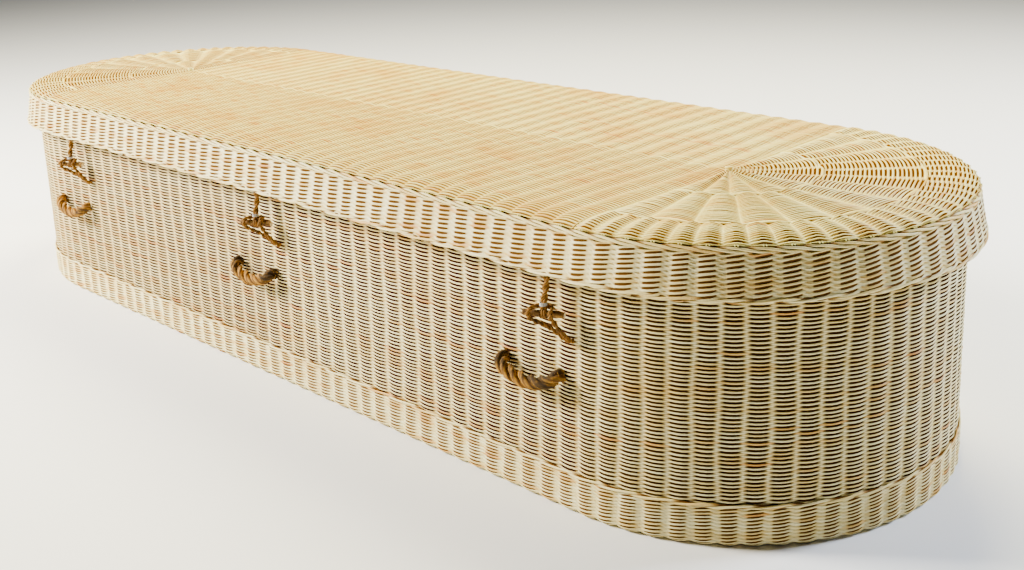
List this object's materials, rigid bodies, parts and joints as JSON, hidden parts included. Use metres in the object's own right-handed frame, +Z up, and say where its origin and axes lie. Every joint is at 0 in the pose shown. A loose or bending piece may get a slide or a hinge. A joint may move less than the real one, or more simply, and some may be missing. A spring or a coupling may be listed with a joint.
{
  "type": "woven cane casket",
  "caption": "Long hollow casket of woven cane with round ends, a lift-off lid with a fan weave, rope handles and toggle closures.",
  "frame": {"origin": "centre of the footprint, on the floor", "axes": "+X along the length, +Y across, +Z up"},
  "size_m": [1.9392, 0.6746, 0.377],
  "materials": {
    "cane": "peeled cane, woven, unvarnished, satin",
    "rope": "twisted plant fibre, rough",
    "bark_peg": "short twig with its bark, pale cut ends"
  },
  "bodies": {
    "root": {"basket": "cane", "lid": "cane", "rope_handle_front_1": "rope", "rope_handle_front_2": "rope", "rope_handle_front_3": "rope", "rope_handle_back_1": "rope", "rope_handle_back_2": "rope", "rope_handle_back_3": "rope", "lid_cord_front_1": "rope", "lid_cord_front_2": "rope", "lid_cord_front_3": "rope", "lid_cord_back_1": "rope", "lid_cord_back_2": "rope", "lid_cord_back_3": "rope", "peg_loop_front_1": "rope", "peg_loop_front_2": "rope", "peg_loop_front_3": "rope", "peg_loop_back_1": "rope", "peg_loop_back_2": "rope", "peg_loop_back_3": "rope", "toggle_peg_front_1": "bark_peg", "toggle_peg_front_2": "bark_peg", "toggle_peg_front_3": "bark_peg", "toggle_peg_back_1": "bark_peg", "toggle_peg_back_2": "bark_peg", "toggle_peg_back_3": "bark_peg"}
  },
  "joints": []
}
